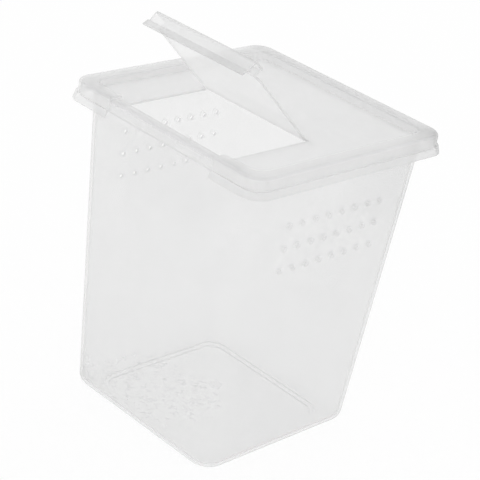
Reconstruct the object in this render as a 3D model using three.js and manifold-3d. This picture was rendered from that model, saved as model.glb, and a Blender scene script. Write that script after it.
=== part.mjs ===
// A ventilated square tub, its push-on lid, and a flap hinged into the lid.
// Millimetres, +Z up, origin at the centre of the base on the table.
// Wall +X and wall -X carry the vents, and the flap opens on the -Y side.

import * as THREE from 'three';
import { mergeVertices } from 'three/addons/utils/BufferGeometryUtils.js';
import Module from 'manifold-3d';

const wasm = await Module();
wasm.setup();

// Tub body
const tubHeight = 128.1;
const baseHalf = 40.1; // half width of the walls, run down to the table
const wallDraft = 2.79; // degrees each wall leans outward
const wall = 1.0;
const wallCornerRadius = 8.0;
const baseFillet = 4.0;
const floorThickness = 1.2;
const footWidth = 4.5; // flat ring that the tub stands on
const floorPanelRise = 1.2;
const floorPanelRadius = 6.0;
const stepRun = 0.6; // how far the panel's step leans

// Tub rim, a flange turned down into a lip
const rimOverhang = 2.66; // from the wall's outer face to the lip's
const rimCornerRadius = 5.45;
const rimThickness = 1.0;
const rimLipDrop = 5.2; // top of the rim to the lip's lower edge
const rimRound = 1.2; // outer top edge of the rim
const rimEdge = 0.4; // softened inner edge of the rim

// Vents
const ventBore = 2.0;
const ventCollar = 3.2;
const ventCollarHeight = 0.35;
const ventPitch = 6.95;
const ventRowPitch = 9.33;
const ventDrop = 23.65; // top of the rim to the top row
const ventColumns = 8;
const ventRows = 3;

// Lid
const seatGap = 0.1; // bead over the rim
const sideGap = 0.25; // skirt outside the rim, and plug leg inside the mouth
const lidThickness = 0.9;
const skirtThickness = 0.75;
const recessDepth = 3.3; // bead top to panel top
const skirtDrop = 4.9; // bead top to the step above the flared lip
const lipDrop = 2.7; // height of the flared lip
const lipStep = 0.9; // ledge where the lip begins
const lipFlare = 0.8; // lean of the lip below the ledge
const beadRound = 1.2; // outer top edge of the bead
const recessRound = 0.9; // edge that leads down into the recess
const legLead = 0.3; // chamfer that leads the plug leg into the mouth

// Port and flap
const portHalf = 27.0;
const gateHalf = 28.0; // the same port where it runs out through the bead and the skirt
const hingeOffset = 1.2; // hinge line to the lid's centre line
const flapGap = 0.5; // flap to the port's sides
const bandHalf = 26.0; // the flap's own run of bead and skirt
const flapCornerRadius = 4.0;
const flapRestAngle = 43.3; // degrees open
const webThickness = 0.35; // plastic left in the living hinge
const webGap = 0.3; // parting between the two halves of the hinge web
const grooveWidth = 2.0; // thinned strip under the hinge
const grooveHalf = 29.5; // it runs a little past the port at both ends

// Facets
const cornerSteps = 6;
const filletSteps = 4;
const edgeSteps = 3;
const ventSides = 10;

const quarterTurn = Math.PI / 2;
const beyond = 20; // how far cutting blocks reach past what they cut

// Heights and half widths that several pieces share
const draftSlope = Math.tan(THREE.MathUtils.degToRad(wallDraft));
const outerHalf = (z) => baseHalf + z * draftSlope;
const innerHalf = (z) => outerHalf(z) - wall;
const innerCornerRadius = wallCornerRadius - wall;
const rimHalf = outerHalf(tubHeight) + rimOverhang;
const beadUnderside = tubHeight + seatGap;
const lidTop = beadUnderside + lidThickness;
const panelTop = lidTop - recessDepth;
const panelUnderside = panelTop - lidThickness;
const legHalf = (z) => innerHalf(z) - sideGap;
const legInner = (z) => legHalf(z) - lidThickness;

// One level of a square body: half width, radius of the upright corners, height.
const level = (half, radius, z) => ({ half, radius: Math.max(radius, 0.2), z });

function levelPoints({ half, radius, z }) {
  const points = [];
  for (let corner = 0; corner < 4; corner += 1) {
    for (let step = 0; step <= cornerSteps; step += 1) {
      const angle = (step / cornerSteps) * quarterTurn;
      const x = half - radius + radius * Math.cos(angle);
      const y = half - radius + radius * Math.sin(angle);
      const point = new THREE.Vector3(x, y, z);
      points.push(point.applyAxisAngle(new THREE.Vector3(0, 0, 1), corner * quarterTurn));
    }
  }
  return points;
}

// A closed skin through a run of levels. The first and last are closed to the centre line.
function squareLoft(levels) {
  const rings = levels.map(levelPoints);
  const count = rings[0].length;
  const first = new THREE.Vector3(0, 0, levels[0].z);
  const last = new THREE.Vector3(0, 0, levels[levels.length - 1].z);
  const points = [first, ...rings.flat(), last];
  const index = [];
  for (let i = 0; i < count; i += 1) {
    const next = (i + 1) % count;
    index.push(0, 1 + next, 1 + i);
    for (let ring = 0; ring + 1 < rings.length; ring += 1) {
      const lower = 1 + ring * count;
      const upper = lower + count;
      index.push(lower + i, lower + next, upper + next);
      index.push(lower + i, upper + next, upper + i);
    }
    const top = 1 + (rings.length - 1) * count;
    index.push(top + i, top + next, points.length - 1);
  }
  const geometry = new THREE.BufferGeometry().setFromPoints(points);
  geometry.setIndex(index);
  return toSolid(geometry);
}

// Solids are joined and cut as manifolds and turned back into geometry at the end.
function toSolid(geometry) {
  const bare = geometry.clone();
  bare.deleteAttribute('normal');
  bare.deleteAttribute('uv');
  const merged = mergeVertices(bare, 1e-5);
  const vertProperties = new Float32Array(merged.attributes.position.array);
  const triVerts = new Uint32Array(merged.index.array);
  return new wasm.Manifold(new wasm.Mesh({ numProp: 3, vertProperties, triVerts }));
}

function toGeometry(solid) {
  const mesh = solid.getMesh();
  const geometry = new THREE.BufferGeometry();
  geometry.setAttribute('position', new THREE.BufferAttribute(mesh.vertProperties, 3));
  geometry.setIndex(new THREE.BufferAttribute(mesh.triVerts, 1));
  geometry.computeVertexNormals();
  return geometry;
}

// An upright block between two opposite corners.
function block(low, high) {
  const size = high.map((value, i) => value - low[i]);
  const geometry = new THREE.BoxGeometry(...size);
  geometry.translate(...low.map((value, i) => value + size[i] / 2));
  return toSolid(geometry);
}

// Levels of a rounded base edge, from the table up to the wall or the other way.
function filletLevels(wallHalf, wallRadius, fillet, bottom) {
  const levels = [];
  for (let step = 0; step <= filletSteps; step += 1) {
    const angle = (step / filletSteps) * quarterTurn;
    const inset = fillet * (1 - Math.sin(angle));
    const z = bottom + fillet * (1 - Math.cos(angle));
    levels.push(level(wallHalf - inset, wallRadius - inset, z));
  }
  return levels;
}

// Levels of a rounded top edge, upward. The solid lies inside the edge, or outside it.
function topEdgeLevels(half, radius, top, edge, inside) {
  const levels = [];
  for (let step = 0; step <= edgeSteps; step += 1) {
    const angle = (step / edgeSteps) * quarterTurn;
    const inset = (inside ? 1 : -1) * edge * (1 - Math.cos(angle));
    levels.push(level(half - inset, radius - inset, top - edge * (1 - Math.sin(angle))));
  }
  return levels;
}

function tubShell() {
  const flangeUnderside = tubHeight - rimThickness;
  const lipInner = rimHalf - rimThickness;
  const lipInnerRadius = rimCornerRadius - rimThickness;
  const lipBottom = tubHeight - rimLipDrop;
  const innerFillet = baseFillet - wall;
  const innerFilletTop = floorThickness + innerFillet;
  const floorTop = floorThickness + floorPanelRise;
  const panelHalf = outerHalf(baseFillet) - baseFillet - footWidth;

  const base = [
    level(panelHalf - 2 * stepRun, floorPanelRadius - stepRun, floorPanelRise),
    level(panelHalf - stepRun, floorPanelRadius, 0),
    ...filletLevels(outerHalf(baseFillet), wallCornerRadius, baseFillet, 0),
  ];
  const rim = [
    level(outerHalf(flangeUnderside), wallCornerRadius, flangeUnderside),
    level(lipInner, lipInnerRadius, flangeUnderside),
    level(lipInner, lipInnerRadius, lipBottom),
    level(rimHalf, rimCornerRadius, lipBottom),
    ...topEdgeLevels(rimHalf, rimCornerRadius, tubHeight, rimRound, true),
    level(innerHalf(tubHeight) + rimEdge, innerCornerRadius + rimEdge, tubHeight),
    level(innerHalf(tubHeight), innerCornerRadius, tubHeight - rimEdge),
  ];
  const inside = [
    ...filletLevels(innerHalf(innerFilletTop), innerCornerRadius, innerFillet, floorThickness).reverse(),
    level(panelHalf + stepRun, floorPanelRadius + stepRun, floorThickness),
    level(panelHalf, floorPanelRadius, floorTop),
  ];
  return squareLoft([...base, ...rim, ...inside]);
}

// A round bar that stands square to the leaning +X wall, from one depth to another.
function ventBar(diameter, y, z, from, to) {
  const radius = diameter / 2;
  const geometry = new THREE.CylinderGeometry(radius, radius, to - from, ventSides);
  geometry.translate(0, (from + to) / 2, 0);
  geometry.rotateZ(-quarterTurn + Math.atan(-draftSlope));
  geometry.translate(outerHalf(z), y, z);
  return toSolid(geometry);
}

// All the vents' bars on both vented walls.
function ventBars(diameter, from, to) {
  const bars = [];
  for (let row = 0; row < ventRows; row += 1) {
    for (let column = 0; column < ventColumns; column += 1) {
      const y = (column - (ventColumns - 1) / 2) * ventPitch;
      const z = tubHeight - ventDrop - row * ventRowPitch;
      const bar = ventBar(diameter, y, z, from, to);
      bars.push(bar, bar.rotate([0, 0, 180]));
    }
  }
  return wasm.Manifold.union(bars);
}

function tub() {
  const collars = ventBars(ventCollar, -wall / 2, ventCollarHeight);
  const bores = ventBars(ventBore, -2 * wall, 2 * ventCollarHeight);
  return tubShell().add(collars).subtract(bores);
}

// The whole lid as moulded, before the port parts the flap from it.
function lidShell() {
  const legRadius = innerCornerRadius - sideGap;
  const legInnerRadius = legRadius - lidThickness;
  const skirtInner = rimHalf + sideGap;
  const skirtInnerRadius = rimCornerRadius + sideGap;
  const skirtOuter = skirtInner + skirtThickness;
  const skirtOuterRadius = skirtInnerRadius + skirtThickness;
  const ledge = lidTop - skirtDrop;
  const lipBottom = ledge - lipDrop;
  const spread = lipStep + lipFlare;

  return squareLoft([
    level(legHalf(panelUnderside) - legLead, legRadius - legLead, panelUnderside),
    level(legHalf(panelUnderside), legRadius, panelUnderside + legLead),
    level(legHalf(beadUnderside), legRadius, beadUnderside),
    level(skirtInner, skirtInnerRadius, beadUnderside),
    level(skirtInner, skirtInnerRadius, ledge),
    level(skirtInner + lipStep, skirtInnerRadius + lipStep, ledge - skirtThickness),
    level(skirtInner + spread, skirtInnerRadius + spread, lipBottom),
    level(skirtOuter + spread, skirtOuterRadius + spread, lipBottom),
    level(skirtOuter + lipStep, skirtOuterRadius + lipStep, ledge),
    level(skirtOuter, skirtOuterRadius, ledge),
    ...topEdgeLevels(skirtOuter, skirtOuterRadius, lidTop, beadRound, true),
    ...topEdgeLevels(legInner(lidTop), legInnerRadius, lidTop, recessRound, false).reverse(),
    level(legInner(panelTop), legInnerRadius, panelTop),
  ]);
}

// The groove that thins the panel to a web, centred under the hinge line.
function hingeGroove() {
  const middle = -hingeOffset;
  return block(
    [-grooveHalf, middle - grooveWidth / 2, panelUnderside - beyond],
    [grooveHalf, middle + grooveWidth / 2, panelTop - webThickness],
  );
}

// A block of a given half width, between two distances from the centre line towards -Y.
function gateBlock(half, from, to) {
  return block([-half, -to, -beyond], [half, -from, lidTop + beyond]);
}

// Where the panel ends and the plug leg begins, and a place well outside the lid.
const legEdge = legInner(panelUnderside);
const outside = rimHalf + beyond;

function lidFrame() {
  const port = gateBlock(portHalf, hingeOffset - webGap / 2, outside);
  const gate = gateBlock(gateHalf, legEdge, outside);
  return lidShell().subtract(hingeGroove()).subtract(port).subtract(gate);
}

// What a round corner leaves outside it, on one side of the flap's free end.
function cornerWaste(side, end) {
  const half = portHalf - flapGap;
  const shape = new THREE.Shape();
  shape.moveTo(half + flapGap, end);
  shape.lineTo(half + flapGap, end + flapCornerRadius);
  shape.lineTo(half, end + flapCornerRadius);
  shape.absarc(half - flapCornerRadius, end + flapCornerRadius, flapCornerRadius, 0, -quarterTurn, true);
  shape.closePath();
  const depth = beadUnderside - panelUnderside + beyond;
  const geometry = new THREE.ExtrudeGeometry(shape, { depth, bevelEnabled: false, curveSegments: cornerSteps });
  geometry.translate(0, 0, panelUnderside - beyond);
  const waste = toSolid(geometry);
  return side > 0 ? waste : waste.mirror([1, 0, 0]);
}

function flap() {
  const end = -legHalf(beadUnderside);
  const panel = gateBlock(portHalf - flapGap, hingeOffset + webGap / 2, legEdge);
  const band = gateBlock(bandHalf, legEdge, outside);
  const cut = lidShell().intersect(panel.add(band)).subtract(hingeGroove());
  return cut.subtract(cornerWaste(1, end)).subtract(cornerWaste(-1, end));
}

// Milky polypropylene, the lid a touch glossier than the tub.
function plastic(color, roughness) {
  return new THREE.MeshStandardMaterial({ color, roughness, metalness: 0, transparent: true, opacity: 0.6 });
}

function piece(name, solid, material) {
  const mesh = new THREE.Mesh(toGeometry(solid), material);
  mesh.name = name;
  return mesh;
}

const cage = new THREE.Group();
cage.add(piece('tub', tub(), plastic(0xe6e8e8, 0.4)));
cage.add(piece('lid_frame', lidFrame(), plastic(0xe9ebeb, 0.35)));

// The flap turns about the hinge line, which lies in the panel's top face.
const hinge = new THREE.Group();
hinge.position.set(0, -hingeOffset, panelTop);
hinge.rotation.x = -THREE.MathUtils.degToRad(flapRestAngle);
const flapMesh = piece('flap', flap(), plastic(0xe9ebeb, 0.35));
flapMesh.position.copy(hinge.position).negate();
hinge.add(flapMesh);
cage.add(hinge);

export default cage;
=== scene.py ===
import math
import bpy
from mathutils import Euler, Matrix, Vector


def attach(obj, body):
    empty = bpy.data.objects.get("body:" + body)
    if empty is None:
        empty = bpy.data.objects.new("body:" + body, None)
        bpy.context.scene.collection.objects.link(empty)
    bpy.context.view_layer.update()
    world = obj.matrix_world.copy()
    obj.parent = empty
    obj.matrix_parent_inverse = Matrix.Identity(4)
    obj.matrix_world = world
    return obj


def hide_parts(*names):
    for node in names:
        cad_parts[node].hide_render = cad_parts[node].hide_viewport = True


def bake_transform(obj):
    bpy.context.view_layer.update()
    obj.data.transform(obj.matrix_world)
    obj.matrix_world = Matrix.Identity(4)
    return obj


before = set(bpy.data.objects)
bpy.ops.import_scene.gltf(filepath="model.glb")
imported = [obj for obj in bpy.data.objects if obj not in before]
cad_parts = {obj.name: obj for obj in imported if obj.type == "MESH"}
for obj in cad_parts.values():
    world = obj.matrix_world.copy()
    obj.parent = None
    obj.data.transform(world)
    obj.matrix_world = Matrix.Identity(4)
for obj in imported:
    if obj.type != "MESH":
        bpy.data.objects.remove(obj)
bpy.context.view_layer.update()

mm = 0.001

# the tub's shell, in millimetres and degrees
tubShape = {
    "height": 128.1,
    "baseHalf": 40.1,
    "draft": 2.79,
    "wall": 1.0,
    "cornerRadius": 8.0,
    "baseFillet": 4.0,
    "floorThickness": 1.2,
    "footWidth": 4.5,
    "panelRise": 1.2,
    "panelRadius": 6.0,
    "stepRun": 0.6,
    "rimOverhang": 2.66,
    "rimRadius": 5.45,
    "rimThickness": 1.0,
    "rimLipDrop": 5.2,
    "rimRound": 1.2,
    "rimEdge": 0.4,
}
cornerSegments = 10  # facets round each upright corner, the same on every outline
bridgeLift = 5.0  # how far a level outline is raised while it is bridged
same = 0.02  # places closer than this count as one

slope = math.tan(math.radians(tubShape["draft"]))
tubTop = tubShape["height"]
innerRadius = tubShape["cornerRadius"] - tubShape["wall"]


def outerHalf(z):
    return tubShape["baseHalf"] + z * slope


def innerHalf(z):
    return outerHalf(z) - tubShape["wall"]


rimHalf = outerHalf(tubTop) + tubShape["rimOverhang"]


def deselectAll():
    if bpy.context.object and bpy.context.object.mode != "OBJECT":
        bpy.ops.object.mode_set(mode="OBJECT")
    bpy.ops.object.select_all(action="DESELECT")


def pick(piece):
    deselectAll()
    piece.select_set(True)
    bpy.context.view_layer.objects.active = piece


def addSquare(half, z):
    bpy.ops.mesh.primitive_plane_add(size=2 * half * mm, location=(0, 0, z * mm))


def roundCorners(radius):
    bpy.ops.mesh.bevel(offset=radius * mm, segments=cornerSegments, affect="VERTICES")


def skin(name, outlines):
    # the first outline is a face, later ones are bridged to the open edge so far, and the last is filled
    deselectAll()
    half, radius, z = outlines[0]
    addSquare(half, z)
    piece = bpy.context.object
    piece.name = piece.data.name = name
    bpy.ops.object.transform_apply(location=True, rotation=False, scale=False)
    bpy.ops.object.mode_set(mode="EDIT")
    bpy.ops.mesh.select_mode(type="VERT")
    bpy.ops.mesh.select_all(action="SELECT")
    roundCorners(radius)
    before = z
    for half, radius, z in outlines[1:]:
        # level loops can bridge crosswise, so the new one starts higher
        lift = bridgeLift if abs(z - before) < same else 0
        before = z
        bpy.ops.mesh.select_all(action="DESELECT")
        addSquare(half, z + lift)
        roundCorners(radius)
        bpy.ops.mesh.delete(type="ONLY_FACE")
        bpy.ops.mesh.select_all(action="DESELECT")
        bpy.ops.mesh.select_non_manifold()
        bpy.ops.mesh.bridge_edge_loops()
        bpy.ops.mesh.select_all(action="DESELECT")
        bpy.ops.mesh.select_non_manifold()
        bpy.ops.transform.translate(value=(0, 0, -lift * mm))
    bpy.ops.mesh.select_all(action="DESELECT")
    bpy.ops.mesh.select_non_manifold()
    bpy.ops.mesh.edge_face_add()
    bpy.ops.mesh.select_all(action="SELECT")
    bpy.ops.mesh.normals_make_consistent(inside=False)
    bpy.ops.object.mode_set(mode="OBJECT")
    return piece


def selectEdges(piece, test):
    # edges whose two ends both pass the test, which gets millimetres
    pick(piece)
    mesh = piece.data
    inside = [test(v.co / mm) for v in mesh.vertices]
    for part in (mesh.polygons, mesh.edges, mesh.vertices):
        for item in part:
            item.select = False
    for edge in mesh.edges:
        if inside[edge.vertices[0]] and inside[edge.vertices[1]]:
            edge.select = True
            for end in edge.vertices:
                mesh.vertices[end].select = True
    bpy.ops.object.mode_set(mode="EDIT")
    bpy.ops.mesh.select_mode(type="EDGE")


def beyond(place, half, radius):
    # how far a place lies outside a square outline with rounded corners
    acrossX = max(abs(place.x) - (half - radius), 0)
    acrossY = max(abs(place.y) - (half - radius), 0)
    return math.hypot(acrossX, acrossY) - radius


def onOutline(half, radius, z):
    return lambda place: abs(place.z - z) < same and abs(beyond(place, half, radius)) < same


def roundEdge(piece, outline, width, segments):
    selectEdges(piece, onOutline(*outline))
    bpy.ops.mesh.bevel(offset=width * mm, segments=segments, affect="EDGES", clamp_overlap=False)
    bpy.ops.object.mode_set(mode="OBJECT")


def applyModifier(piece, kind, **settings):
    pick(piece)
    modifier = piece.modifiers.new(kind.title(), kind)
    for key, value in settings.items():
        setattr(modifier, key, value)
    bpy.ops.object.modifier_apply(modifier=modifier.name)


def combine(piece, tool, operation):
    applyModifier(piece, "BOOLEAN", object=tool, operation=operation, solver="EXACT")
    bpy.data.objects.remove(tool, do_unlink=True)


def finishSurface(piece, sharpAngle):
    # joins loose corners and shades smoothly across all but the sharp edges
    pick(piece)
    bpy.ops.object.mode_set(mode="EDIT")
    bpy.ops.mesh.select_mode(type="VERT")
    bpy.ops.mesh.select_all(action="SELECT")
    bpy.ops.mesh.remove_doubles(threshold=0.001 * mm)
    bpy.ops.object.mode_set(mode="OBJECT")
    bpy.ops.object.shade_smooth_by_angle(angle=math.radians(sharpAngle))
    applyModifier(piece, "WEIGHTED_NORMAL", keep_sharp=True, weight=60)


def markEdgeShade(piece, shareOf):
    # painted shade: 0 on plain wall to 1 on a cut or rounded edge, kept in the mesh for the plastic to
    # read and paint greyer
    mesh = piece.data
    edge = mesh.attributes.new("edge", "FLOAT", "CORNER")
    for face in mesh.polygons:
        share = shareOf(face.center / mm, face.normal)
        for corner in face.loop_indices:
            edge.data[corner].value = share


def addBlock(name, low, high):
    size = [(b - a) * mm for a, b in zip(low, high)]
    middle = [(a + b) / 2 * mm for a, b in zip(low, high)]
    deselectAll()
    bpy.ops.mesh.primitive_cube_add(size=1, location=middle)
    block = bpy.context.object
    block.name = block.data.name = name
    block.scale = size
    bpy.ops.object.transform_apply(location=True, rotation=False, scale=True)
    return block


# how the tests of places and normals tell one kind of face from another
slack = 0.05  # millimetres past a feature that still belong to it
upright = 0.12  # up to this share of Z in its normal a face is a wall
level = 0.97  # and from this share it is level
sideways = 0.5  # from this share of X it faces to one side


# tub: from the floor's panel up the inside, over the rim, and down the outside to the foot

def makeTub():
    s = tubShape
    top, bottom = tubTop, s["floorThickness"]
    flange = top - s["rimThickness"]
    lipBottom = top - s["rimLipDrop"]
    lipInner = rimHalf - s["rimThickness"]
    lipRadius = s["rimRadius"] - s["rimThickness"]
    panelHalf = outerHalf(s["baseFillet"]) - s["baseFillet"] - s["footWidth"]
    insideFoot = (innerHalf(bottom), innerRadius, bottom)
    mouth = (innerHalf(top), innerRadius, top)
    rimTop = (rimHalf, s["rimRadius"], top)
    foot = (outerHalf(0), s["cornerRadius"], 0)
    tub = skin("tub_shell", [
        (panelHalf, s["panelRadius"], bottom + s["panelRise"]),
        (panelHalf + s["stepRun"], s["panelRadius"] + s["stepRun"], bottom),
        insideFoot,
        mouth,
        rimTop,
        (rimHalf, s["rimRadius"], lipBottom),
        (lipInner, lipRadius, lipBottom),
        (lipInner, lipRadius, flange),
        (outerHalf(flange), s["cornerRadius"], flange),
        foot,
        (panelHalf - s["stepRun"], s["panelRadius"], 0),
        (panelHalf - 2 * s["stepRun"], s["panelRadius"] - s["stepRun"], s["panelRise"]),
    ])
    roundEdge(tub, insideFoot, s["baseFillet"] - s["wall"], segments=5)
    roundEdge(tub, foot, s["baseFillet"], segments=6)
    roundEdge(tub, rimTop, s["rimRound"], segments=4)
    roundEdge(tub, mouth, s["rimEdge"], segments=2)
    return tub


ventShape = {
    "bore": 2.0,
    "collar": 3.2,
    "collarHeight": 0.35,
    "collarEdge": 0.15,
    "pitch": 6.95,
    "rowPitch": 9.33,
    "drop": 23.65,
    "columns": 8,
    "rows": 3,
    "sides": 24,
}
ventTop = tubTop - ventShape["drop"]  # middle of the top row
ventSide = (ventShape["columns"] - 1) / 2 * ventShape["pitch"]  # middle of the last column


def makeVentBars(diameter, inner, outer, edge):
    # one round bar square to the leaning wall, then the whole pattern on both vented walls
    s = ventShape
    lean = math.radians(90 + tubShape["draft"])
    outward = Vector((math.sin(lean), 0, math.cos(lean)))
    onWall = Vector((outerHalf(ventTop), -ventSide, ventTop))
    middle = onWall + outward * (inner + outer) / 2
    deselectAll()
    bpy.ops.mesh.primitive_cylinder_add(
        vertices=s["sides"], radius=diameter / 2 * mm, depth=(outer - inner) * mm,
        location=middle * mm, rotation=(0, lean, 0))
    bars = bpy.context.object
    bpy.ops.object.transform_apply(location=True, rotation=True, scale=False)
    if edge:
        face = onWall + outward * outer
        selectEdges(bars, lambda place: abs((place - face).dot(outward)) < same)
        bpy.ops.mesh.bevel(offset=edge * mm, segments=2, affect="EDGES")
        bpy.ops.object.mode_set(mode="OBJECT")
    applyModifier(bars, "ARRAY", count=s["columns"], use_relative_offset=False, use_constant_offset=True,
                  constant_offset_displace=(0, s["pitch"] * mm, 0))
    applyModifier(bars, "ARRAY", count=s["rows"], use_relative_offset=False, use_constant_offset=True,
                  constant_offset_displace=(-s["rowPitch"] * slope * mm, 0, -s["rowPitch"] * mm))
    applyModifier(bars, "MIRROR", use_axis=(True, False, False))
    return bars


def fromVent(place):
    # distance from the nearest vent's middle, along the wall
    s = ventShape
    column = (place.y + ventSide) / s["pitch"]
    row = (ventTop - place.z) / s["rowPitch"]
    return math.hypot((column - round(column)) * s["pitch"], (row - round(row)) * s["rowPitch"])


def amongVents(place):
    s = ventShape
    ventBottom = ventTop - (s["rows"] - 1) * s["rowPitch"]
    return (ventBottom - s["collar"] < place.z < ventTop + s["collar"]
            and abs(place.y) < ventSide + s["collar"])


# how much painted shade the tub's edges get, in place of the light that they bend away
tubEdgeShading = {
    "rimUnderFlap": 0.5,
    "lipUnderFlap": 0.3,
    "lip": 0.1,
    "floorStep": 0.4,
    "collar": 0.05,
    "bore": 0.1,
    # painted shade on the bores: more on faces that face up and on those that face -Y
    "leftBores": (0.45, 0.6),  # added low down and at the back
    "rightBores": (0.1, 0.38),
    "flapHalf": 28.0,
    "stepFrom": 30.0,
}


# painted shade on the tub's rim, lip, floor step and vents
def tubEdgeShade(place, normal):
    s, w = tubShape, tubEdgeShading
    underFlap = abs(place.x) < w["flapHalf"] and place.y < 0
    if place.z > tubTop - s["rimRound"] - slack and normal.z > upright:
        return w["rimUnderFlap"] if underFlap else 0.0  # painted shade on the rim where the flap closes on it
    if abs(place.z - tubTop + s["rimLipDrop"]) < slack and normal.z < -level:
        return w["lipUnderFlap"] if underFlap else w["lip"]  # bottom of the rim's lip
    # painted shade on the floor step's slope, on the far sides only
    if place.z < s["baseFillet"] and upright < abs(normal.z) < level:
        onStep = max(abs(place.x), abs(place.y)) < outerHalf(0) - s["baseFillet"]
        farSide = place.x < -w["stepFrom"] or place.y > w["stepFrom"]
        return w["floorStep"] if onStep and farSide else 0.0
    # painted shade on the collars and in the bores
    if amongVents(place) and abs(normal.x) < sideways:
        if fromVent(place) > (ventShape["bore"] + ventShape["collar"]) / 4:
            return w["collar"]
        low, back = w["leftBores"] if place.x < 0 else w["rightBores"]
        return max(w["bore"], low * normal.z - back * normal.y)
    return 0.0


tub = makeTub()
wall = tubShape["wall"]
collarTop = ventShape["collarHeight"]
collars = makeVentBars(ventShape["collar"], -wall / 2, collarTop, ventShape["collarEdge"])
combine(tub, collars, "UNION")
combine(tub, makeVentBars(ventShape["bore"], -2 * wall, 2 * collarTop, 0), "DIFFERENCE")
finishSurface(tub, sharpAngle=35)
markEdgeShade(tub, tubEdgeShade)
print("tub: shell, rim and vents made,", len(tub.data.polygons), "faces")

lidShape = {
    "seatGap": 0.1,
    "sideGap": 0.25,
    "thickness": 0.9,
    "skirtThickness": 0.75,
    "recessDepth": 3.3,
    "skirtDrop": 4.9,
    "lipDrop": 2.7,
    "lipStep": 0.9,
    "lipFlare": 0.8,
    "beadRound": 1.2,
    "recessRound": 0.9,
    "legLead": 0.3,
    "grooveWidth": 2.0,
    "grooveHalf": 29.5,
    "portHalf": 27.0,
    "gateHalf": 28.0,
}
beadUnderside = tubTop + lidShape["seatGap"]
lidTop = beadUnderside + lidShape["thickness"]
ledge = lidTop - lidShape["skirtDrop"]
panelTop = lidTop - lidShape["recessDepth"]
panelUnderside = panelTop - lidShape["thickness"]


def legHalf(z):
    return innerHalf(z) - lidShape["sideGap"]


def legInner(z):
    return legHalf(z) - lidShape["thickness"]


# reach of the blocks that cut the lid: from well under it to well over it, and well outside it
cutLow = 100
cutHigh = 150
farOut = rimHalf + 20
legEdge = legInner(panelUnderside)


def makeLidShell(name):
    s = lidShape
    lead, spread = s["legLead"], s["lipStep"] + s["lipFlare"]
    legRadius = innerRadius - s["sideGap"]
    recessRadius = legRadius - s["thickness"]
    inner = rimHalf + s["sideGap"]
    innerCorner = tubShape["rimRadius"] + s["sideGap"]
    outer = inner + s["skirtThickness"]
    outerCorner = innerCorner + s["skirtThickness"]
    lipBottom = ledge - s["lipDrop"]
    bead = (outer, outerCorner, lidTop)
    recess = (legInner(lidTop), recessRadius, lidTop)
    shell = skin(name, [
        (legHalf(panelUnderside) - lead, legRadius - lead, panelUnderside),
        (legHalf(panelUnderside), legRadius, panelUnderside + lead),
        (legHalf(beadUnderside), legRadius, beadUnderside),
        (inner, innerCorner, beadUnderside),
        (inner, innerCorner, ledge),
        (inner + s["lipStep"], innerCorner + s["lipStep"], ledge - s["skirtThickness"]),
        (inner + spread, innerCorner + spread, lipBottom),
        (outer + spread, outerCorner + spread, lipBottom),
        (outer + s["lipStep"], outerCorner + s["lipStep"], ledge),
        (outer, outerCorner, ledge),
        bead,
        recess,
        (legInner(panelTop), recessRadius, panelTop),
    ])
    roundEdge(shell, bead, s["beadRound"], segments=5)
    roundEdge(shell, recess, s["recessRound"], segments=4)
    return shell


flapShape = {
    "hingeOffset": 1.2,
    "gap": 0.5,
    "bandHalf": 26.0,
    "bandInset": 0.5,
    "cornerRadius": 4.0,
    "restAngle": 43.3,
    "webThickness": 0.35,
    "webGap": 0.02,
    "webSteps": 10,
}
hinge = Vector((0, -flapShape["hingeOffset"], panelTop))
flapHalf = lidShape["portHalf"] - flapShape["gap"]
grooveFrom = flapShape["hingeOffset"] - lidShape["grooveWidth"] / 2
grooveTo = flapShape["hingeOffset"] + lidShape["grooveWidth"] / 2


def makeLidFrame():
    s = lidShape
    lid = makeLidShell("lid_moulding")
    for name, half, front, back, low, high in (
        ("groove", s["grooveHalf"], grooveTo, grooveFrom, cutLow, panelTop - flapShape["webThickness"]),
        ("port", s["portHalf"], farOut, grooveFrom, cutLow, cutHigh),
        ("gate", s["gateHalf"], farOut, legEdge, cutLow, cutHigh),
    ):
        combine(lid, addBlock(name, (-half, -front, low), (half, -back, high)), "DIFFERENCE")
    return lid


# how much painted shade the lid's and the flap's edges get
lidEdgeShading = {
    "cut": 0.7,
    "gateCut": 0.35,
    "groove": 0.5,
    "beadBack": 0.7,
    "beadRight": 0.25,
    "beadOuter": 0.35,
    "beadInner": 0.4,
    "skirtCorner": 0.6,
    "lip": 0.1,
    "grip": 0.7,
    "gripLip": 0.22,
    "beadWidth": 6.0,
    "outerFrom": -1.0,  # measured from the rim's outside, as the next one is
    "lipFrom": 1.5,
    "cornerTurn": 0.25,
}


# painted shade on the lid's cut faces, groove and moulded edges
def lidEdgeShade(place, normal):
    s, w = lidShape, lidEdgeShading
    x = abs(place.x)
    if abs(normal.x) > sideways and min(abs(x - s["portHalf"]), abs(x - s["grooveHalf"])) < slack:
        return w["cut"]
    if abs(normal.x) > sideways and abs(x - s["gateHalf"]) < slack:
        return w["gateCut"]
    inGroove = -grooveTo - slack < place.y < -grooveFrom + slack and x < s["grooveHalf"] + slack
    if inGroove and place.z < panelTop - slack:
        return w["groove"]
    return mouldedEdgeShade(place, normal)


# painted shade on the bead, the skirt's one corner and the lip
def mouldedEdgeShade(place, normal):
    s, w = lidShape, lidEdgeShading
    out = beyond(place, rimHalf, tubShape["rimRadius"])
    if place.z > lidTop - s["beadRound"] - slack and normal.z > upright:
        # the bead has painted shade, darkest along the back and lightest on the +X side
        if place.y > rimHalf - w["beadWidth"]:
            return w["beadBack"]
        if place.x > rimHalf - w["beadWidth"]:
            return w["beadRight"]
        return w["beadOuter"] if out > w["outerFrom"] else w["beadInner"]
    turned = min(abs(normal.x), abs(normal.y)) > w["cornerTurn"]
    if out > slack and place.x > 0 and place.y > 0 and turned:
        return w["skirtCorner"]  # painted shade on this one corner only
    if out > w["lipFrom"] and place.z < ledge + slack:
        return w["lip"]
    return 0.0


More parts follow.
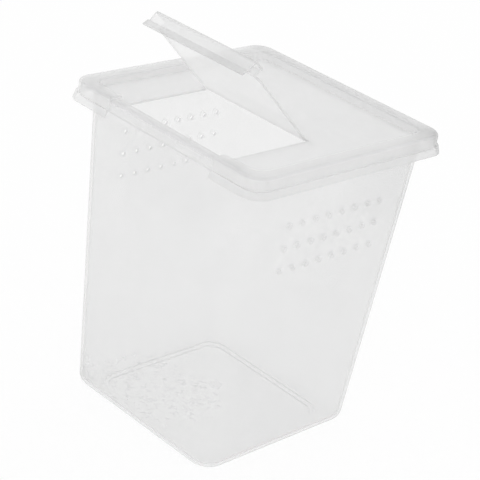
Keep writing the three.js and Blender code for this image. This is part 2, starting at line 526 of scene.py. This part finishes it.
# painted shade on the flap's cut sides and grip
def flapEdgeShade(place, normal):
    w = lidEdgeShading
    onGrip = place.y < -rimHalf
    if abs(normal.x) > sideways and abs(normal.z) < upright:
        return w["cut"]
    if onGrip and (upright < normal.z < level or normal.z < -level):
        return w["grip"]  # painted shade on its outer edges
    if onGrip and place.z < ledge:
        return w["gripLip"]
    return mouldedEdgeShade(place, normal)


def makeFlap():
    s = flapShape
    flap = makeLidShell("flap_moulding")
    end = -legHalf(beadUnderside)
    area = addBlock("flap_area", (-flapHalf, end, cutLow), (flapHalf, -grooveTo, beadUnderside))
    for side in (-flapHalf, flapHalf):
        selectEdges(area, lambda place: abs(place.y - end) < same and abs(place.x - side) < same)
        bpy.ops.mesh.bevel(offset=s["cornerRadius"] * mm, segments=8, affect="EDGES")
        bpy.ops.object.mode_set(mode="OBJECT")
    # the band over the tub's rim is a little narrower, first its top and then its skirt
    for name, back, low in (("band_top", legEdge, beadUnderside - same / 2),
                            ("band_skirt", rimHalf - s["bandInset"], cutLow)):
        band = addBlock(name, (-s["bandHalf"], -farOut, low), (s["bandHalf"], -back, cutHigh))
        combine(area, band, "UNION")
    combine(flap, area, "INTERSECT")
    return flap


def turnOpen(piece, angle):
    # turns a piece about the hinge line and leaves its place in its mesh
    turn = Matrix.Rotation(-math.radians(angle), 4, "X")
    piece.matrix_world = Matrix.Translation(hinge * mm) @ turn @ Matrix.Translation(-hinge * mm)
    pick(piece)
    bpy.ops.object.transform_apply(location=True, rotation=True, scale=True)


def makeWeb():
    # the thin strip that joins the flap to the lid, bent as far as the flap stands open
    s = flapShape
    low = (-flapHalf, -grooveTo + s["webGap"], panelTop - s["webThickness"])
    high = (flapHalf, -grooveFrom - s["webGap"], panelTop)
    web = addBlock("hinge_web", low, high)
    bpy.ops.object.mode_set(mode="EDIT")
    for step in range(1, s["webSteps"]):
        bpy.ops.mesh.select_all(action="SELECT")
        cut = Vector((0, high[1] + (low[1] - high[1]) * step / s["webSteps"], 0)) * mm
        bpy.ops.mesh.bisect(plane_co=cut, plane_no=(0, 1, 0))
    bpy.ops.object.mode_set(mode="OBJECT")
    for vertex in web.data.vertices:
        along = (high[1] * mm - vertex.co.y) / ((high[1] - low[1]) * mm)
        share = along * along * (3 - 2 * along)  # eases in and out of the bend
        turn = Matrix.Rotation(-math.radians(s["restAngle"]) * share, 3, "X")
        vertex.co = turn @ (vertex.co - hinge * mm) + hinge * mm
    return web


lid = makeLidFrame()
finishSurface(lid, sharpAngle=35)
markEdgeShade(lid, lidEdgeShade)
flap = makeFlap()
finishSurface(flap, sharpAngle=35)
markEdgeShade(flap, flapEdgeShade)
turnOpen(flap, flapShape["restAngle"])
web = makeWeb()
finishSurface(web, sharpAngle=60)
markEdgeShade(web, lambda place, normal: lidEdgeShading["groove"])
counts = [len(piece.data.polygons) for piece in (lid, flap, web)]
print("lid: frame, flap and hinge web made,", *counts, "faces")


# milky polypropylene, lit through its walls

plasticLook = {
    "cloudRange": (0.3, 0.7),
    "cloudDetail": 5,
    "gloss": 0.3,
    "grain": 0.03,
    "grainSize": 900.0,
    "grainDetail": 2,
    "grainHeight": 0.1,
    "grazingAlpha": 0.6,
    "hazeFrom": 0.55,
    "grazingTint": 0.7,
    "tintFrom": 0.85,
    # the grey mixed in by the edge share, the scuffs and the dark patches; on edges it is painted shade
    "shadeAndScuffGrey": (0.65, 0.65, 0.65, 1),
    "edgeHaze": 0.2,
}
# a mark is full in the inner half of its reach and fades from there
markLook = {
    "fullUpTo": 0.5,
    "detail": 4,
    "roughness": 0.65,
}
faint = {"grain": 90.0, "specks": (0.2, 0.5)}  # coarse enough to be a cloud and not specks
tubLook = {
    **plasticLook,
    "light": (0.97, 0.97, 0.97, 1),
    "dark": (0.925, 0.925, 0.925, 1),
    "cloudSize": 170.0,
    "roughness": (0.32, 0.44),
    "alpha": 0.24,
    "glow": 0.35,
    "scuffsAndShade": [
        {"place": (-14, -18, 1.5), "reach": (36, 28, 4), "strength": 0.5,
         "grain": 330.0, "specks": (0.56, 0.64)},
        {"place": (-3.8, 6.7, 2.4), "reach": (3, 3, 2), "strength": 0.5,
         "grain": 900.0, "specks": (0.15, 0.5)},
        {"place": (-38, -38, 5), "reach": (10, 10, 8), "strength": 0.3,
         "grain": 300.0, "specks": (0.35, 0.6)},
    ],
    "darkPatches": [
        # darker patches in the colour; the three on the +X wall are painted shade, below the lid's skirt
        # and towards the +X +Y corner
        {"place": (2, -45.5, 109), "reach": (34, 8, 20), "strength": 0.17, **faint},
        {"place": (45.5, 27, 109), "reach": (8, 26, 22), "strength": 0.27, **faint},
        {"place": (44.5, 47, 86), "reach": (9, 13, 36), "strength": 0.22, **faint},
        {"place": (44, 18, 88), "reach": (8, 44, 44), "strength": 0.07, **faint},
    ],
}
lidLook = {
    **plasticLook,
    "light": (0.985, 0.985, 0.985, 1),
    "dark": (0.97, 0.97, 0.97, 1),
    "cloudSize": 200.0,
    "roughness": (0.3, 0.42),
    "alpha": 0.27,
    "glow": 0.4,
    "scuffsAndShade": [
        # painted shade: a darker cloud at the +X +Y corner of the lid's skirt
        {"place": (50, 46, 125.5), "reach": (12, 20, 8), "strength": 0.3, **faint},
    ],
    "darkPatches": [
        {"place": (12, -9, 133), "reach": (28, 11, 9), "strength": 0.15, **faint},
        {"place": (27, 14, 125.8), "reach": (26, 42, 4), "strength": 0.1, **faint},
    ],
}


def feed(tree, source, socket):
    # another node's output is linked, and a number or colour is set on the socket itself
    if isinstance(source, bpy.types.NodeSocket):
        tree.links.new(source, socket)
    else:
        socket.default_value = source


def addNoise(tree, place, size, detail, roughness=0.5):
    noise = tree.nodes.new("ShaderNodeTexNoise")
    feed(tree, place, noise.inputs["Vector"])
    feed(tree, size, noise.inputs["Scale"])
    feed(tree, detail, noise.inputs["Detail"])
    feed(tree, roughness, noise.inputs["Roughness"])
    return noise.outputs["Fac"]


def addMath(tree, operation, *values):
    node = tree.nodes.new("ShaderNodeMath")
    node.operation = operation
    for value, socket in zip(values, node.inputs):
        feed(tree, value, socket)
    return node.outputs["Value"]


def addRange(tree, value, before, after, kind="LINEAR"):
    # carries the range before over to the range after, and holds at both ends
    node = tree.nodes.new("ShaderNodeMapRange")
    node.interpolation_type = kind
    feed(tree, value, node.inputs["Value"])
    for key, number in zip(("From Min", "From Max", "To Min", "To Max"), (*before, *after)):
        feed(tree, number, node.inputs[key])
    return node.outputs["Result"]


def mixShaders(tree, share, first, second):
    node = tree.nodes.new("ShaderNodeMixShader")
    for source, socket in zip((share, first, second), node.inputs):
        feed(tree, source, socket)
    return node.outputs["Shader"]


def addMark(tree, place, share, mark):
    # dull specks or a faint cloud within reach of one spot, laid over the share so far
    spot = tree.nodes.new("ShaderNodeMapping")
    feed(tree, [1 / (side * mm) for side in mark["reach"]], spot.inputs["Scale"])
    shift = [-middle / side for middle, side in zip(mark["place"], mark["reach"])]
    feed(tree, shift, spot.inputs["Location"])
    feed(tree, place, spot.inputs["Vector"])
    near = tree.nodes.new("ShaderNodeTexGradient")
    near.gradient_type = "SPHERICAL"
    feed(tree, spot.outputs["Vector"], near.inputs["Vector"])
    fade = addRange(tree, near.outputs["Fac"], (0, markLook["fullUpTo"]), (0, mark["strength"]))
    noise = addNoise(tree, place, mark["grain"], markLook["detail"], markLook["roughness"])
    specks = addRange(tree, noise, mark["specks"], (0, 1))
    return addMath(tree, "ADD", share, addMath(tree, "MULTIPLY", fade, specks))


def makePlastic(name, s):
    material = bpy.data.materials.new(name)
    material.use_nodes = True
    tree = material.node_tree
    shader = tree.nodes["Principled BSDF"]
    feed(tree, s["gloss"], shader.inputs["Specular IOR Level"])
    place = tree.nodes.new("ShaderNodeTexCoord").outputs["Object"]
    # faint clouds in its tone and gloss
    clouds = addNoise(tree, place, s["cloudSize"], s["cloudDetail"])
    tint = tree.nodes.new("ShaderNodeValToRGB")
    for stop, position, color in zip(tint.color_ramp.elements, s["cloudRange"], (s["dark"], s["light"])):
        stop.position = position
        stop.color = color
    feed(tree, clouds, tint.inputs["Fac"])
    feed(tree, addRange(tree, clouds, s["cloudRange"], s["roughness"]), shader.inputs["Roughness"])
    # painted shade: cut and rounded edges bend the light away, so they are painted greyer, and the
    # scuffs and shade spots add to the same share
    edge = tree.nodes.new("ShaderNodeAttribute")
    edge.attribute_name = "edge"
    share = edge.outputs["Fac"]
    for scuffAndShade in s["scuffsAndShade"]:
        share = addMark(tree, place, share, scuffAndShade)
    tone = share
    for darkPatch in s["darkPatches"]:  # these change the colour and not how much shows through
        tone = addMark(tree, place, tone, darkPatch)
    mix = tree.nodes.new("ShaderNodeMixRGB")
    feed(tree, tone, mix.inputs["Fac"])
    feed(tree, tint.outputs["Color"], mix.inputs["Color1"])
    feed(tree, s["shadeAndScuffGrey"], mix.inputs["Color2"])
    feed(tree, mix.outputs["Color"], shader.inputs["Base Color"])
    # the fine grain of the mould
    bump = tree.nodes.new("ShaderNodeBump")
    feed(tree, s["grain"], bump.inputs["Strength"])
    feed(tree, s["grainHeight"] * mm, bump.inputs["Distance"])
    feed(tree, addNoise(tree, place, s["grainSize"], s["grainDetail"]), bump.inputs["Height"])
    feed(tree, bump.outputs["Normal"], shader.inputs["Normal"])
    # the wall also glows with the light that falls on its other side
    glow = tree.nodes.new("ShaderNodeBsdfTranslucent")
    feed(tree, mix.outputs["Color"], glow.inputs["Color"])
    milk = mixShaders(tree, s["glow"], shader.outputs["BSDF"], glow.outputs["BSDF"])
    # seen along its surface the wall is thicker, so less shows through it
    facing = tree.nodes.new("ShaderNodeLayerWeight").outputs["Facing"]
    haze = addRange(tree, facing, (s["hazeFrom"], 1), (s["alpha"], s["grazingAlpha"]), "SMOOTHSTEP")
    # and what does show through it is dimmed by the longer way
    dim = addRange(tree, facing, (s["tintFrom"], 1), (1, s["grazingTint"]), "SMOOTHSTEP")
    clear = tree.nodes.new("ShaderNodeBsdfTransparent")
    feed(tree, dim, clear.inputs["Color"])
    denser = addMath(tree, "MULTIPLY_ADD", share, s["edgeHaze"], haze)
    wall = mixShaders(tree, denser, clear.outputs["BSDF"], milk)
    feed(tree, wall, tree.nodes["Material Output"].inputs["Surface"])
    return material


tubPlastic = makePlastic("milky_tub_plastic", tubLook)
lidPlastic = makePlastic("milky_lid_plastic", lidLook)
for piece, material in ((tub, tubPlastic), (lid, lidPlastic), (flap, lidPlastic), (web, lidPlastic)):
    piece.data.materials.clear()
    piece.data.materials.append(material)
print("materials made")


# what each piece stands for and moves with

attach(tub, "tub")
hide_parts("tub")
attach(lid, "lid")
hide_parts("lid_frame")
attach(flap, "flap")
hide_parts("flap")
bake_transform(web)


# camera at the photograph's place, in millimetres and degrees

cameraLook = {
    "place": (393.025, -436.627, 355.553),
    "azimuth": 41.871,
    "elevation": 25.723,
    "roll": 9.842,
    "lens": 125.907,
    "sensorWidth": 36.0,
    "clipStart": 10.0,
}


def makeCamera(s):
    camera = bpy.data.objects.new("camera", bpy.data.cameras.new("camera"))
    bpy.context.collection.objects.link(camera)
    camera.data.lens = s["lens"]
    camera.data.sensor_width = s["sensorWidth"]
    camera.data.clip_start = s["clipStart"] * mm
    aim = Euler((math.radians(90 - s["elevation"]), 0, math.radians(s["azimuth"]))).to_matrix()
    camera.rotation_euler = (aim @ Matrix.Rotation(math.radians(s["roll"]), 3, "Z")).to_euler()
    camera.location = Vector(s["place"]) * mm
    bpy.context.scene.camera = camera


# pale studio, in metres: floor, world and soft lamps

studioLook = {
    "floorSize": 6.0,
    "floorHeight": -0.0001,
    "floorColor": (0.9, 0.9, 0.9, 1),
    "floorShadow": 0.08,
    "white": (1, 1, 1, 1),
    "worldStrength": 0.94,
    "lampAim": (0, 0, 0.07),
    "lamps": [
        {"name": "key_lamp", "place": (0.1, -1.0, 1.1), "size": 1.0, "power": 1.0},
        {"name": "back_lamp", "place": (-0.3, 0.7, 1.3), "size": 0.9, "power": 1.5},
    ],
    "clearBounces": 48,  # a look along the rim passes through many walls
    "diffuseBounces": 12,  # light goes back and forth inside the tub
}


def seenDirectly(tree):
    # 1 for rays from the camera, reflections and clear glass, so that only those meet plain white
    path = tree.nodes.new("ShaderNodeLightPath")
    seen = addMath(tree, "MAXIMUM", path.outputs["Is Camera Ray"], path.outputs["Is Glossy Ray"])
    return addMath(tree, "MAXIMUM", seen, path.outputs["Is Transmission Ray"])


def makeFloor(s):
    deselectAll()
    bpy.ops.mesh.primitive_plane_add(size=s["floorSize"], location=(0, 0, s["floorHeight"]))
    floor = bpy.context.object
    floor.name = "floor"
    material = bpy.data.materials.new("pale_floor")
    material.use_nodes = True
    tree = material.node_tree
    tree.nodes.clear()
    out = tree.nodes.new("ShaderNodeOutputMaterial")
    diffuse = tree.nodes.new("ShaderNodeBsdfDiffuse")
    feed(tree, s["floorColor"], diffuse.inputs["Color"])
    white = tree.nodes.new("ShaderNodeEmission")
    feed(tree, s["white"], white.inputs["Color"])
    feed(tree, 1, white.inputs["Strength"])
    paper = mixShaders(tree, s["floorShadow"], white.outputs["Emission"], diffuse.outputs["BSDF"])
    surface = mixShaders(tree, seenDirectly(tree), diffuse.outputs["BSDF"], paper)
    feed(tree, surface, out.inputs["Surface"])
    floor.data.materials.append(material)


def makeWorld(s):
    world = bpy.data.worlds.new("studio")
    bpy.context.scene.world = world
    world.use_nodes = True
    tree = world.node_tree
    tree.nodes.clear()
    out = tree.nodes.new("ShaderNodeOutputWorld")
    skies = []
    for strength in (s["worldStrength"], 1):  # what lights the scene, and what is seen
        sky = tree.nodes.new("ShaderNodeBackground")
        feed(tree, s["white"], sky.inputs["Color"])
        feed(tree, strength, sky.inputs["Strength"])
        skies.append(sky.outputs["Background"])
    feed(tree, mixShaders(tree, seenDirectly(tree), *skies), out.inputs["Surface"])


def makeLamps(s):
    for lamp in s["lamps"]:
        data = bpy.data.lights.new(lamp["name"], "AREA")
        data.energy = lamp["power"]
        data.shape = "SQUARE"
        data.size = lamp["size"]
        item = bpy.data.objects.new(lamp["name"], data)
        item.location = lamp["place"]
        toAim = Vector(s["lampAim"]) - Vector(lamp["place"])
        item.rotation_euler = toAim.to_track_quat("-Z", "Y").to_euler()
        bpy.context.collection.objects.link(item)


makeCamera(cameraLook)
makeFloor(studioLook)
makeWorld(studioLook)
makeLamps(studioLook)
bpy.context.scene.view_settings.view_transform = "Standard"
bpy.context.scene.cycles.transparent_max_bounces = studioLook["clearBounces"]
bpy.context.scene.cycles.diffuse_bounces = studioLook["diffuseBounces"]
print("camera, floor, world and lamps made")
